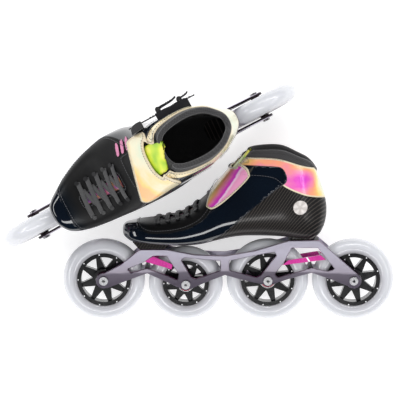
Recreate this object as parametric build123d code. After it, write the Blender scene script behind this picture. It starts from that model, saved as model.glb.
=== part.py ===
from build123d import *
import math
import os

# A pair of four-wheel inline speed skates, in millimetres. One skate stands on its wheels and the
# other lies on its lateral side. Both are built from one right-foot design.
#
# A skate's own frame: toe at -X, heel at +X, medial side at -Y, lateral side at +Y, ground at Z = 0,
# and the frame's middle plane at Y = 0, with X = 0 midway between the first and the last axle.

# Wheels: (axle x, wheel radius)
WHEELS = [(-167.5, 55.0), (-57.5, 50.0), (52.5, 55.0), (167.5, 55.0)]
TYRE_HALF_WIDTH = 12.0
TYRE_DEPTH = 19.0
RIM_HALF_WIDTH = 9.0
RIM_THICKNESS = 5.5
SPOKES = 8
SPOKE_ANGLE = 30.0
SPOKE_HALF_DEPTH = 5.5
SPOKE_INNER_WIDTH = 12.0
SPOKE_OUTER_WIDTH = 5.0
HUB_RADIUS = 14.5
HUB_HALF_WIDTH = 11.5

# 608 bearings and the axle
BEARING_RADIUS = 11.0
BEARING_WIDTH = 7.0
BEARING_OUTER_FACE = 12.0
AXLE_RADIUS = 4.0
RUNNING_CLEARANCE = 0.03
SPACER_RADIUS = 5.6
SPACER_END_GAP = 0.1
BARREL_BORE = 8.0
AXLE_HEAD_RADIUS = 5.8
AXLE_HEAD_HEIGHT = 2.6
HEX_SOCKET = 4.0

# Frame
PLATE_INNER = 14.5
PLATE_OUTER = 18.0
PLATE_CHAMFER = 0.8
BOSS_RADIUS = 6.2
BOSS_FACE = 12.15
PLATE_BORE = 4.05
FRONT_DECK = (-119.0, -86.0, 93.5, 97.5)
REAR_DECK = (81.0, 121.0, 104.8, 109.7)
FRONT_MOUNT_X = -100.0
REAR_MOUNT_X = 95.0
MOUNT_BOLT_RADIUS = 3.0
MOUNT_BOLT_HEAD_RADIUS = 5.0
MOUNT_BOLT_HEAD_HEIGHT = 2.5
MOUNT_BOLT_REACH = 3.0
BRACES = [(-108.9, 71.0), (-6.2, 72.0), (110.0, 71.0)]
BRACE_HALF_WIDTH = 3.8
BRACE_HEIGHT = 9.0
BAR_INNER = 15.0
BAR_OUTER = 17.2

# Boot
SHELL_WALL = 3.0
LINER_WALL = 3.0
STRAP_WALL = 2.4
SOLE_BLOCK_HALF_WIDTH = 20.0
LACE_ROWS = 5
LACE_RADIUS = 1.8

# Buckle, on the lateral side of the ankle
BUCKLE_Z = 196.0
BUCKLE_FRONT = 38.0
BUCKLE_REAR = 84.0
BUCKLE_HEIGHT = 17.0
LADDER_HEIGHT = 12.0
LADDER_INNER = 48.3
LADDER_OUTER = 50.3
LADDER_FRONT = 0.0
LADDER_REAR = 94.0
LEVER_PIN_X = 44.0
LEVER_PIN_Y = 54.0
PIN_RADIUS = 1.6
EAR = 1.8
EAR_RADIUS = 3.4
RIVET_HEAD = 0.8
# The outer curve of an arm from its pin outwards, then its under side back to the pin
LEVER_OUTLINE = [(-1, 2.2), (10, 3.0), (20, 3.4), (27, 5.4), (27.6, 3.6), (20, 1.0), (10, 0.2), (0, -1.6)]
LEVER_RIBS = [(13, 3.1), (16, 3.2), (19, 3.3)]
TAB_OUTLINE = [(-1, 2.2), (5, 2.0), (10, 2.6), (13.6, 4.4), (14.2, 3.0), (10, 0.8), (5, 0.2), (0, -1.4)]
TAB_RIBS = [(7, 2.2), (9.5, 2.5)]
TAB_PIN_X = 74.0
TAB_PIN_Y = 53.2

# Placements. The lying skate's upper end is raised by LYING_TILT from lying flat on its side.
LYING_TILT = 9.0
LYING_YAW = -28.0
LYING_SHIFT = (-3.6, -231.7)

FAR = 80.0

# Pieces of which the pair's two share one node
PAIRED = ("insoles", "tongues")


def side_prism(points, low_y, high_y):
    """A prism across the skate: a side-view outline in X and Z between two values of Y."""
    outline = Plane.XZ * make_face(Polyline(*points, close=True))
    return Pos(0, high_y, 0) * extrude(outline, high_y - low_y)


def rounded_prism(points, radius, low_y, high_y):
    """As side_prism, with every corner rounded."""
    outline = Plane.XZ * make_face(FilletPolyline(*points, radius=radius, close=True))
    return Pos(0, high_y, 0) * extrude(outline, high_y - low_y)


def rod(x, z, radius, low_y, high_y):
    """A round bar across the skate."""
    return Pos(x, high_y, z) * (Plane.XZ * extrude(Circle(radius), high_y - low_y))


def pipe(x, z, radius, bore, low_y, high_y):
    return rod(x, z, radius, low_y, high_y) - rod(x, z, bore, low_y - 1, high_y + 1)


def block(x, y, z):
    """A box given by its lowest and highest values on each axis."""
    centre = [(low + high) / 2 for low, high in (x, y, z)]
    return Pos(*centre) * Box(x[1] - x[0], y[1] - y[0], z[1] - z[0])


# Wheels


def tyre(radius):
    """A urethane tyre: straight flanks on the rim and a round running edge."""
    rim = radius - TYRE_DEPTH
    flank = radius - 11.0
    with_axis = [
        Line((rim, -RIM_HALF_WIDTH), (rim, RIM_HALF_WIDTH)),
        Spline((rim, RIM_HALF_WIDTH), (flank, TYRE_HALF_WIDTH), (radius - 2.2, 6.0), (radius, 0)),
        Spline((radius, 0), (radius - 2.2, -6.0), (flank, -TYRE_HALF_WIDTH), (rim, -RIM_HALF_WIDTH)),
    ]
    return revolve(make_face(with_axis), Axis.Y)


def hub(radius):
    """Rim, spokes and barrel, with a seat for a bearing at each end of the barrel."""
    rim = radius - TYRE_DEPTH
    ring = pipe(0, 0, rim, rim - RIM_THICKNESS, -RIM_HALF_WIDTH, RIM_HALF_WIDTH)
    barrel = rod(0, 0, HUB_RADIUS, -HUB_HALF_WIDTH, HUB_HALF_WIDTH)
    body = ring + barrel
    start, end = HUB_RADIUS - 2, rim - RIM_THICKNESS + 1.5
    blade = [
        (start, -SPOKE_INNER_WIDTH / 2),
        (end, -SPOKE_OUTER_WIDTH / 2),
        (end, SPOKE_OUTER_WIDTH / 2),
        (start, SPOKE_INNER_WIDTH / 2),
    ]
    spoke = side_prism(blade, -SPOKE_HALF_DEPTH, SPOKE_HALF_DEPTH)
    for number in range(SPOKES):
        body += Rot(0, SPOKE_ANGLE + 360 / SPOKES * number, 0) * spoke
    seat = BEARING_OUTER_FACE - BEARING_WIDTH
    body -= rod(0, 0, BARREL_BORE, -FAR, FAR)
    body -= rod(0, 0, BEARING_RADIUS, seat, FAR)
    body -= rod(0, 0, BEARING_RADIUS, -FAR, -seat)
    return body


def bearings():
    """The two bearings of a wheel."""
    bore = AXLE_RADIUS + RUNNING_CLEARANCE
    seat = BEARING_OUTER_FACE - BEARING_WIDTH
    right = pipe(0, 0, BEARING_RADIUS, bore, seat, BEARING_OUTER_FACE)
    left = pipe(0, 0, BEARING_RADIUS, bore, -BEARING_OUTER_FACE, -seat)
    return [right, left]


def axle(x, z):
    """An axle bolt: shank, and a round head with a hexagon socket at each end."""
    shank = rod(x, z, AXLE_RADIUS, -PLATE_OUTER, PLATE_OUTER)
    body = shank
    for low in (PLATE_OUTER, -PLATE_OUTER - AXLE_HEAD_HEIGHT):
        body += rod(x, z, AXLE_HEAD_RADIUS, low, low + AXLE_HEAD_HEIGHT)
    hexagon = [
        (x + HEX_SOCKET / 2 * math.cos(k * math.pi / 3), z + HEX_SOCKET / 2 * math.sin(k * math.pi / 3))
        for k in range(6)
    ]
    depth = AXLE_HEAD_HEIGHT + 2
    top = PLATE_OUTER + AXLE_HEAD_HEIGHT
    body -= side_prism(hexagon, top - depth, top + 1)
    body -= side_prism(hexagon, -top - 1, -top + depth)
    return body


def spacer(x, z):
    """The tube that holds a wheel's two bearings apart."""
    half = BEARING_OUTER_FACE - BEARING_WIDTH - SPACER_END_GAP
    return pipe(x, z, SPACER_RADIUS, AXLE_RADIUS, -half, half)


# Frame

PLATE_OUTLINE = [
    (-176, 62), (-169, 64), (-143, 78), (-119, 97.6), (-83, 97.6), (-45, 90.5), (-5, 89), (35, 96),
    (80, 109.7), (121, 109.7), (173, 64), (178, 52), (167, 45), (140, 56), (111, 66), (80, 57.5),
    (53, 48.5), (18, 56.5), (-5, 62.9), (-25, 55.4), (-52, 43.6), (-63, 43.6), (-84, 54), (-109, 65.2),
    (-132, 57), (-163, 45), (-177, 50),
]
WINDOW_FRONT = [
    (-136, 71), (-113, 80.6), (-101, 89), (-83, 89), (-67, 64), (-68.5, 56), (-86, 63.6), (-109, 72),
    (-131, 66),
]
WINDOW_MIDDLE_FRONT = [(-64, 84), (-58, 86.5), (-11, 82.2), (-11, 69.3), (-44, 57.5), (-50, 60)]
WINDOW_MIDDLE_REAR = [(1, 82.5), (61, 94.5), (64, 90), (43.4, 63), (37, 59.7), (1, 69.3)]
WINDOW_REAR = [
    (84, 100), (119, 99.8), (142, 71), (133, 68), (111, 72.5), (66, 59.5), (61.6, 64), (74, 80),
]
FRONT_BAR = [(-112.4, 81.4), (-101, 88.2), (-75, 77), (-76.5, 70.8)]
REAR_BAR = [(72, 76.4), (80, 83), (122.8, 90), (129.7, 84)]


def plate(side):
    """A frame plate. side is -1 for the medial one and 1 for the lateral one."""
    low, high = sorted((side * PLATE_INNER, side * PLATE_OUTER))
    body = rounded_prism(PLATE_OUTLINE, 2.2, low, high)
    for x, z in axle_points():
        body += rod(x, z, 10.4 if abs(x) > 100 else 8.0, low, high)
        boss = sorted((side * BOSS_FACE, side * PLATE_INNER))
        body += rod(x, z, BOSS_RADIUS, *boss)
    for window in (WINDOW_FRONT, WINDOW_MIDDLE_FRONT, WINDOW_MIDDLE_REAR, WINDOW_REAR):
        body -= rounded_prism(window, 1.6, low - 1, high + 1)
    for x, z in axle_points():
        body -= rod(x, z, PLATE_BORE, -FAR, FAR)
    faces = body.faces().filter_by(Axis.Y).sort_by(Axis.Y)
    outer_face = faces[-1] if side > 0 else faces[0]
    return chamfer(outer_face.edges(), PLATE_CHAMFER)


def axle_points():
    return [(x, radius) for x, radius in WHEELS]


def accent_bars():
    """Coloured bars across the end windows of both plates."""
    bars = []
    for bar, window in ((FRONT_BAR, WINDOW_FRONT), (REAR_BAR, WINDOW_REAR)):
        for side in (-1, 1):
            low, high = sorted((side * BAR_INNER, side * BAR_OUTER))
            bars.append(side_prism(bar, low, high) & rounded_prism(window, 1.6, low, high))
    return bars


def decks():
    """The two decks between the plates, with a bolt hole in each."""
    found = []
    for (x0, x1, z0, z1), hole in ((FRONT_DECK, FRONT_MOUNT_X), (REAR_DECK, REAR_MOUNT_X)):
        deck = block((x0, x1), (-PLATE_INNER, PLATE_INNER), (z0, z1))
        found.append(deck - Pos(hole, 0, z0) * Cylinder(MOUNT_BOLT_RADIUS, 40))
    return found


def braces():
    found = []
    for x, z in BRACES:
        corners = [(x - BRACE_HALF_WIDTH, z), (x + BRACE_HALF_WIDTH, z), (x, z + BRACE_HEIGHT)]
        found.append(rounded_prism(corners, 0.8, -PLATE_INNER, PLATE_INNER))
    return found


def frame_bolts():
    """A bolt up through each deck into the boot's block, with its head under the deck."""
    found = []
    for (x0, x1, z0, z1), x in ((FRONT_DECK, FRONT_MOUNT_X), (REAR_DECK, REAR_MOUNT_X)):
        head = Pos(x, 0, z0 - MOUNT_BOLT_HEAD_HEIGHT / 2) * Cylinder(
            MOUNT_BOLT_HEAD_RADIUS, MOUNT_BOLT_HEAD_HEIGHT
        )
        top = z1 + MOUNT_BOLT_REACH
        shank = Pos(x, 0, (z0 + top) / 2) * Cylinder(MOUNT_BOLT_RADIUS, top - z0)
        found.append(head + shank)
    return found


# Boot. Each station is a cross-section: x, lowest z, highest z, then the medial and lateral half
# widths low down and the same at ankle height.
STATIONS = [
    (-140.5, 117.0, 129.0, 12.0, 9.0, 12.0, 9.0),
    (-137.0, 113.5, 132.0, 20.0, 15.0, 20.0, 15.0),
    (-129.0, 109.0, 134.0, 29.0, 22.0, 29.0, 22.0),
    (-112.0, 105.5, 136.8, 36.0, 33.0, 36.0, 33.0),
    (-85.0, 103.6, 139.0, 40.5, 46.5, 40.5, 46.5),
    (-59.0, 103.2, 146.0, 43.0, 55.0, 43.0, 55.0),
    (-35.0, 105.5, 163.0, 45.0, 59.0, 43.0, 52.0),
    (-10.0, 111.5, 190.0, 46.5, 58.5, 42.0, 45.0),
    (12.0, 115.3, 216.0, 47.5, 53.0, 42.0, 43.5),
    (35.0, 116.0, 238.0, 46.5, 47.0, 42.0, 43.5),
    (70.0, 114.5, 248.0, 41.5, 42.0, 40.0, 42.0),
    (95.0, 111.0, 240.0, 33.5, 34.0, 32.0, 34.0),
    (110.0, 110.8, 220.0, 26.0, 26.0, 24.0, 24.0),
    (120.0, 115.5, 194.0, 19.0, 19.0, 17.0, 17.0),
    (127.0, 127.0, 174.0, 12.0, 12.0, 11.0, 11.0),
    (130.5, 140.0, 160.0, 6.0, 6.0, 6.0, 6.0),
]
RING_POINTS = 20
ANKLE_LOW = 135.0
ANKLE_HIGH = 185.0


def ring(station, offset):
    """The closed cross-section of one station, grown outwards by offset."""
    x, low, high, medial_low, lateral_low, medial_high, lateral_high = station
    first, last = STATIONS[0][0], STATIONS[-1][0]
    middle = (first + last) / 2
    x = middle + (x - middle) * (last - first + 2 * offset) / (last - first)
    rise = min(1.0, (high - low) / 20)
    low, high = low - offset * rise, high + offset * rise
    centre, half = (low + high) / 2, (high - low) / 2
    points = []
    for k in range(RING_POINTS):
        angle = 2 * math.pi * k / RING_POINTS - math.pi / 2
        power = 2 / 3.2 if math.sin(angle) < 0 else 2 / 2.5
        z = centre + half * math.copysign(abs(math.sin(angle)) ** power, math.sin(angle))
        share = min(1.0, max(0.0, (z - ANKLE_LOW) / (ANKLE_HIGH - ANKLE_LOW)))
        if math.cos(angle) < 0:
            width = medial_low + (medial_high - medial_low) * share
        else:
            width = lateral_low + (lateral_high - lateral_low) * share
        width += offset * min(1.0, width / 20)
        y = width * math.copysign(abs(math.cos(angle)) ** power, math.cos(angle))
        points.append(Vector(x, y, z))
    return Wire([Edge.make_spline(points, periodic=True)])


def boot_volume(offset):
    """The boot's solid form, grown outwards by offset."""
    return Solid.make_loft([ring(station, offset) for station in STATIONS])


TOP_LINE = [(8, 205), (15, 217), (21, 229.5), (53.5, 232), (73, 231), (93, 221), (109, 215), (120, 200)]
BASE_LINE = [(-150, 114), (-100, 111.5), (-60, 110), (-20, 114), (62, 188), (70, 186)]
CUFF_LOW = [(70, 186), (87, 177.7), (110, 168.7), (150, 164)]
WRAP_LINE = [(-150, 124), (-110, 121), (-75, 122), (-50, 129), (-28, 143), (2, 181), (15, 213)]
CUFF_FRONT = [(70, 186), (74, 196), (68, 208), (58, 211.4), (15, 213)]
CUFF_TOP = [(15, 222.7), (48, 223.8), (70, 221.5), (94, 212.5), (113, 207.5), (150, 200)]
INSOLE_LINE = [(-150, 119), (-118, 111), (-45, 110), (-4, 118), (30, 121), (65, 120), (90, 117), (150, 117)]
TONGUE_ZONE = [(-92, 118), (-92, 160), (-20, 250), (24, 250), (24, 205), (-25, 150)]
STRAP_ZONE = [(-31, 153), (-34, 166), (9, 222), (17, 216), (30, 208), (-14, 153)]


def under_top():
    """Everything below the collar's top line."""
    return side_prism([(-160, 80), (-160, 205)] + TOP_LINE + [(160, 190), (160, 80)], -FAR, FAR)


def carbon_shell(wall, inner):
    """The load-bearing shell, with its two mounting blocks."""
    zone = side_prism(BASE_LINE + CUFF_LOW[1:] + [(150, 90), (-150, 90)], -FAR, FAR)
    body = wall & zone
    for (x0, x1, z0, z1), hole, top in (
        (FRONT_DECK, FRONT_MOUNT_X, 106.0),
        (REAR_DECK, REAR_MOUNT_X, 112.8),
    ):
        foot = side_prism(
            [(x0 - 0.8, z1), (x1 + 1, z1), (x1 + 6, top), (x0 - 7, top)],
            -SOLE_BLOCK_HALF_WIDTH,
            SOLE_BLOCK_HALF_WIDTH,
        )
        body = body + (foot - inner)
        body -= Pos(hole, 0, z1) * Cylinder(MOUNT_BOLT_RADIUS, 10)
    return body


def lace_slot(low_z, high_z):
    """The gap down the middle of the vamp, bridged by the laces."""
    return block((-96, -34), (-3, 15), (low_z, high_z))


def vamp_top(x):
    """The height of the boot's upper surface along its middle."""
    for first, second in zip(STATIONS, STATIONS[1:]):
        if first[0] <= x <= second[0]:
            share = (x - first[0]) / (second[0] - first[0])
            return first[2] + (second[2] - first[2]) * share
    return STATIONS[-1][2]


def laces():
    """Lace rows across the slot, each a round bar held by the vamp's edges."""
    rows = []
    for number in range(LACE_ROWS):
        x = -90 + 13 * number
        z = vamp_top(x) + LACE_RADIUS + 0.4
        rows.append(Pos(x, 6, z) * Rot(90, 0, 0) * Cylinder(LACE_RADIUS, 34))
    return rows


def boot_pieces():
    outer = boot_volume(0)
    inner = boot_volume(-SHELL_WALL)
    liner_inner = boot_volume(-SHELL_WALL - LINER_WALL)
    cut = under_top()
    wall = (outer - inner) & cut
    liner = (inner - liner_inner) & cut
    insole_zone = side_prism(INSOLE_LINE + [(150, 90), (-150, 90)], -FAR, FAR)
    wrap_zone = side_prism(BASE_LINE[:-1] + CUFF_FRONT[:-1] + WRAP_LINE[::-1], -FAR, FAR)
    vamp_zone = side_prism(WRAP_LINE + [(15, 240), (-150, 240)], -FAR, FAR)
    cuff_zone = side_prism(CUFF_LOW + CUFF_TOP[::-1] + CUFF_FRONT[:0:-1], -FAR, FAR)
    band_zone = side_prism(CUFF_TOP + [(150, 245), (15, 245)], -FAR, FAR)
    tongue_zone = side_prism(TONGUE_ZONE, -22, 24)
    strap_wall = (boot_volume(STRAP_WALL) - outer) & side_prism(STRAP_ZONE, -FAR, FAR)
    return {
        "carbon_shell": carbon_shell(wall, inner),
        "patent_wrap": wall & wrap_zone,
        "vamp": (wall & vamp_zone) - lace_slot(120, 180),
        "ankle_cuff": wall & cuff_zone,
        "collar_lining": (wall & band_zone) + (liner - insole_zone - tongue_zone),
        "tongues": liner & tongue_zone,
        "insoles": inner & insole_zone,
        "instep_strap": strap_wall,
    }


# Buckle


def plan_prism(points, low_z, high_z):
    """A prism along Z: an outline in X and Y."""
    return Pos(0, 0, low_z) * extrude(make_face(Polyline(*points, close=True)), high_z - low_z)


def buckle_base():
    """A channel on the cuff with two ears that carry the lever's and the tab's pins."""
    low, high = BUCKLE_Z - BUCKLE_HEIGHT / 2, BUCKLE_Z + BUCKLE_HEIGHT / 2
    body = block((BUCKLE_FRONT, BUCKLE_REAR), (36.0, 47.8), (low, high)) - boot_volume(0)
    outline = [(BUCKLE_FRONT, 46), (BUCKLE_REAR, 46), (BUCKLE_REAR, 49), (BUCKLE_REAR - 4, 51.2)]
    outline += [(TAB_PIN_X - 6, 51.2), (60, 50.4), (LEVER_PIN_X + 7, 51.2), (BUCKLE_FRONT, 50.5)]
    for z in (low, high - EAR):
        body += plan_prism(outline, z, z + EAR)
        for x, y in ((LEVER_PIN_X, LEVER_PIN_Y), (TAB_PIN_X, TAB_PIN_Y)):
            body += Pos(x, y, z + EAR / 2) * Cylinder(EAR_RADIUS, EAR)
            body += block((x - EAR_RADIUS, x + EAR_RADIUS), (50.0, y), (z, z + EAR))
    for x, y in ((LEVER_PIN_X, LEVER_PIN_Y), (TAB_PIN_X, TAB_PIN_Y)):
        body -= Pos(x, y, BUCKLE_Z) * Cylinder(PIN_RADIUS, BUCKLE_HEIGHT + 2)
    return body


def buckle_pins():
    """The two hinge pins, with a rivet head outside each ear."""
    pins = []
    for x, y in ((LEVER_PIN_X, LEVER_PIN_Y), (TAB_PIN_X, TAB_PIN_Y)):
        pin = Pos(x, y, BUCKLE_Z) * Cylinder(PIN_RADIUS, BUCKLE_HEIGHT)
        for side in (-1, 1):
            height = BUCKLE_Z + side * (BUCKLE_HEIGHT / 2 + RIVET_HEAD / 2)
            pin += Pos(x, y, height) * Cylinder(PIN_RADIUS + 1, RIVET_HEAD)
        pins.append(pin)
    return pins


def hinged_bar(pin_x, pin_y, outline, ribs):
    """A lever or tab between the ears: an eye around its pin, a curved arm and grip ribs across it."""
    half = BUCKLE_HEIGHT / 2 - EAR - 0.3
    low, high = BUCKLE_Z - half, BUCKLE_Z + half
    curve = [(pin_x + x, pin_y + y) for x, y in outline]
    top, under = curve[: len(curve) // 2], curve[len(curve) // 2 :]
    edges = [Spline(*top), Line(top[-1], under[0]), Spline(*under), Line(under[-1], top[0])]
    arm = Pos(0, 0, low) * extrude(make_face(edges), high - low)
    body = arm + Pos(pin_x, pin_y, BUCKLE_Z) * Cylinder(PIN_RADIUS + 0.9, 2 * half)
    for x, y in ribs:
        body += Pos(pin_x + x, pin_y + y, BUCKLE_Z) * Cylinder(0.6, 2 * half - 2)
    return body - Pos(pin_x, pin_y, BUCKLE_Z) * Cylinder(PIN_RADIUS + 0.04, BUCKLE_HEIGHT + 2)


def ladder_strap():
    """The toothed strap that slides through the buckle, with its teeth on the outside."""
    low, high = BUCKLE_Z - LADDER_HEIGHT / 2, BUCKLE_Z + LADDER_HEIGHT / 2
    body = block((LADDER_FRONT, LADDER_REAR), (LADDER_INNER, LADDER_OUTER - 0.8), (low, high))
    pitch = 4.0
    teeth = int((LADDER_REAR - LADDER_FRONT - 34) / pitch)
    for number in range(teeth):
        start = LADDER_FRONT + 30 + pitch * number
        rung = block((start, start + 2.0), (LADDER_OUTER - 0.8, LADDER_OUTER), (low + 1.5, high - 1.5))
        body += rung
    return body


def strap_pocket():
    """The sleeve on the strap's end that the ladder slides in."""
    low, high = BUCKLE_Z - 9, BUCKLE_Z + 9
    sleeve = block((-8, 18), (34.0, 52.6), (low, high)) - boot_volume(STRAP_WALL)
    return sleeve - block((-5, 19), (LADDER_INNER - 0.3, LADDER_OUTER + 0.3), (low + 2.7, high - 2.7))


def skate():
    """Every piece of one skate in the skate's own frame, by name, and the names shared by a pair."""
    pieces = {}
    for number, (x, radius) in enumerate(WHEELS, start=1):
        place = Pos(x, 0, radius)
        pieces[f"tyre_{number}"] = [place * tyre(radius)]
        pieces[f"hub_{number}"] = [place * hub(radius)]
        pieces[f"bearings_{number}"] = [place * one for one in bearings()]
    pieces["medial_plate"] = [plate(-1)]
    pieces["lateral_plate"] = [plate(1)]
    pieces["buckle_base"] = [buckle_base()]
    pieces["buckle_lever"] = [hinged_bar(LEVER_PIN_X, LEVER_PIN_Y, LEVER_OUTLINE, LEVER_RIBS)]
    pieces["release_tab"] = [hinged_bar(TAB_PIN_X, TAB_PIN_Y, TAB_OUTLINE, TAB_RIBS)]
    pieces["ladder_strap"] = [ladder_strap()]
    shared = {
        "frame_decks": decks(),
        "cross_braces": braces(),
        "accent_bars": accent_bars(),
        "axle_bolts": [axle(x, z) for x, z in axle_points()],
        "bearing_spacers": [spacer(x, z) for x, z in axle_points()],
        "frame_bolts": frame_bolts(),
        "buckle_pins": buckle_pins(),
        "strap_pockets": [strap_pocket()],
        "laces": laces(),
    }
    for name, shape in boot_pieces().items():
        if name in PAIRED:
            shared[name] = [shape]
        else:
            pieces[name] = [shape]
    return pieces, shared


def main():
    os.makedirs("parts", exist_ok=True)
    pieces, shared = skate()
    turn = Rot(0, 0, LYING_YAW) * Rot(-(90 - LYING_TILT), 0, 0)
    everything = [shape for group in (pieces, shared) for shapes in group.values() for shape in shapes]
    lift = -min((turn * shape).bounding_box().min.Z for shape in everything)
    places = {"standing": Pos(0, 0, 0), "lying": Pos(LYING_SHIFT[0], LYING_SHIFT[1], lift) * turn}
    nodes = {}
    for prefix, place in places.items():
        for name, shapes in pieces.items():
            nodes[f"{prefix}_{name}"] = [place * shape for shape in shapes]
        for name, shapes in shared.items():
            nodes.setdefault(name, []).extend(place * shape for shape in shapes)
    box = Compound(children=[shape for shapes in nodes.values() for shape in shapes]).bounding_box()
    centre = Pos(-(box.min.X + box.max.X) / 2, -(box.min.Y + box.max.Y) / 2, -box.min.Z)
    for name, shapes in nodes.items():
        solids = [solid for shape in shapes for solid in (centre * shape).solids()]
        export_step(Compound(children=solids), os.path.join("parts", name + ".step"))


main()
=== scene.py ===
import bpy
import bmesh
import math
import numpy as np
from mathutils import Euler, Matrix, Vector


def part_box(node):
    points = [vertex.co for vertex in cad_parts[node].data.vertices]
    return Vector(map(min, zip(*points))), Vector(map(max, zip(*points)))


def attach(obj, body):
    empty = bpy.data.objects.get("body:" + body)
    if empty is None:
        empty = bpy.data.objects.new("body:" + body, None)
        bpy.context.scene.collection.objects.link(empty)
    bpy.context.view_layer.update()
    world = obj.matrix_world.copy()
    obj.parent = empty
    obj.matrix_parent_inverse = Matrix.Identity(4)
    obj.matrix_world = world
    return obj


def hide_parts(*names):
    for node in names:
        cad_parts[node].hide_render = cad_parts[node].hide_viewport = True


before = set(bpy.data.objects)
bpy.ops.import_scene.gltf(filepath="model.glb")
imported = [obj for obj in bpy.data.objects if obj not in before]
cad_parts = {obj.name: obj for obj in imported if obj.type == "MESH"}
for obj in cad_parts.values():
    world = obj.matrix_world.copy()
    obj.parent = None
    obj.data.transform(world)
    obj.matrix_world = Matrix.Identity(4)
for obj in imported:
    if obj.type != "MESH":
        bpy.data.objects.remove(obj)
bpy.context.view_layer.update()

# A pair of inline speed skates. Pieces are shaped in a skate's own frame, in millimetres: toe at -X,
# heel at +X, medial side at -Y, lateral side at +Y, ground at Z = 0 and the frame's middle plane at
# Y = 0. Each piece is then placed once for the standing skate and once for the lying one.

MM = 0.001
SKATES = ("standing", "lying")
LYING_TILT = 9.0
LYING_YAW = -28.0
TURN = {
    "standing": Matrix.Identity(3),
    "lying": Euler((math.radians(LYING_TILT - 90), 0, math.radians(LYING_YAW))).to_matrix(),
}
WHEEL_RADII = (55.0, 50.0, 55.0, 55.0)


def box_centre(node):
    low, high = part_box(node)
    return (Vector(low) + Vector(high)) / 2


def placement(skate):
    """The matrix from a skate's own frame, in metres, to the object's frame."""
    middle = (box_centre(f"{skate}_bearings_1") + box_centre(f"{skate}_bearings_4")) / 2
    origin = middle - TURN[skate] @ Vector((0, 0, WHEEL_RADII[0] * MM))
    return Matrix.Translation(origin) @ TURN[skate].to_4x4()


PLACE = {skate: placement(skate) for skate in SKATES}


# Shader maths


class Sock:
    """A shader value that builds Math nodes from Python's operators."""

    def __init__(self, graph, socket):
        self.graph = graph
        self.socket = socket

    def _math(self, operation, *values):
        return self.graph.node("ShaderNodeMath", {"operation": operation}, *values)[0]

    def __add__(self, other):
        return self._math("ADD", self, other)

    def __sub__(self, other):
        return self._math("SUBTRACT", self, other)

    def __mul__(self, other):
        return self._math("MULTIPLY", self, other)

    def __rsub__(self, other):
        return self._math("SUBTRACT", other, self)

    def __gt__(self, other):
        return self._math("GREATER_THAN", self, other)

    def __lt__(self, other):
        return self._math("LESS_THAN", self, other)

    def frac(self):
        return self._math("FRACT", self)

    def floor(self):
        return self._math("FLOOR", self)

    def size(self):
        return self._math("ABSOLUTE", self)

    def min(self, other):
        return self._math("MINIMUM", self, other)

    def max(self, other):
        return self._math("MAXIMUM", self, other)

    def power(self, other):
        return self._math("POWER", self, other)

    def wave(self):
        return self._math("SINE", self)

    def clip(self):
        return self.graph.node("ShaderNodeClamp", {}, self)[0]

    __radd__ = __add__
    __rmul__ = __mul__


class Graph:
    """The node tree of one material, ending in one Principled shader."""

    def __init__(self, name, **constants):
        self.material = bpy.data.materials.new(name)
        self.material.use_nodes = True
        self.tree = self.material.node_tree
        self.shader = self.tree.nodes["Principled BSDF"]
        for key, value in constants.items():
            self.shader.inputs[key.replace("_", " ")].default_value = value

    def node(self, kind, settings, *values, **named):
        """Any node: its settings first, then its sockets in order or by name."""
        made = self.tree.nodes.new(kind)
        stops = settings.pop("stops", None)
        for key, value in settings.items():
            setattr(made, key, value)
        if stops:
            self._ramp(made.color_ramp, stops)
        for index, value in list(enumerate(values)) + list(named.items()):
            self._feed(made.inputs[index], value)
        return [Sock(self, socket) for socket in made.outputs if socket.enabled]

    def _ramp(self, ramp, stops):
        while len(ramp.elements) < len(stops):
            ramp.elements.new(0.5)
        for element, (place, colour) in zip(ramp.elements, stops):
            element.position = place
            element.color = (*colour, 1)

    def _feed(self, socket, value):
        if isinstance(value, Sock):
            self.tree.links.new(value.socket, socket)
        elif value is not None:
            socket.default_value = value

    def mix(self, factor, first, second):
        made = self.tree.nodes.new("ShaderNodeMix")
        made.data_type = "RGBA"
        self._feed(made.inputs[0], factor)
        for index, colour in ((6, first), (7, second)):
            self._feed(made.inputs[index], colour if isinstance(colour, Sock) else (*colour, 1))
        return Sock(self, made.outputs[2])

    def ramp(self, value, stops):
        return self.node("ShaderNodeValToRGB", {"stops": stops}, value)[0]

    def object_place(self):
        return self.node("ShaderNodeTexCoord", {})[3]

    def attribute(self, name):
        return self.node("ShaderNodeAttribute", {"attribute_name": name})[1]

    def value_attribute(self, name):
        return self.node("ShaderNodeAttribute", {"attribute_name": name})[2]

    def place_from(self, centre, skate):
        """Object coordinates from a centre, in metres, along the skate's own axes."""
        settings = {"vector_type": "TEXTURE"}
        turn = tuple(TURN[skate].to_euler())
        return self.node("ShaderNodeMapping", settings, self.object_place(), tuple(centre), turn)[0]

    def skate_place(self, skate):
        return self.place_from(PLACE[skate].to_translation(), skate)

    def bearing_place(self, skate, number):
        return self.place_from(box_centre(f"{skate}_bearings_{number}"), skate)

    def stretched(self, vector, scale):
        """A vector with its axes scaled apart, for streaks."""
        return self.node("ShaderNodeVectorMath", {"operation": "MULTIPLY"}, vector, scale)[0]

    def split(self, vector):
        return self.node("ShaderNodeSeparateXYZ", {}, vector)

    def noise(self, vector, scale=1.0, detail=3.0):
        return self.node("ShaderNodeTexNoise", {}, Vector=vector, Scale=scale, Detail=detail)

    def set(self, **links):
        for key, value in links.items():
            self._feed(self.shader.inputs[key.replace("_", " ")], value)

    def bump(self, height, distance, strength=1.0):
        made = self.node("ShaderNodeBump", {}, Strength=strength, Distance=distance, Height=height)
        self.set(Normal=made[0])


# Boot surface


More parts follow.
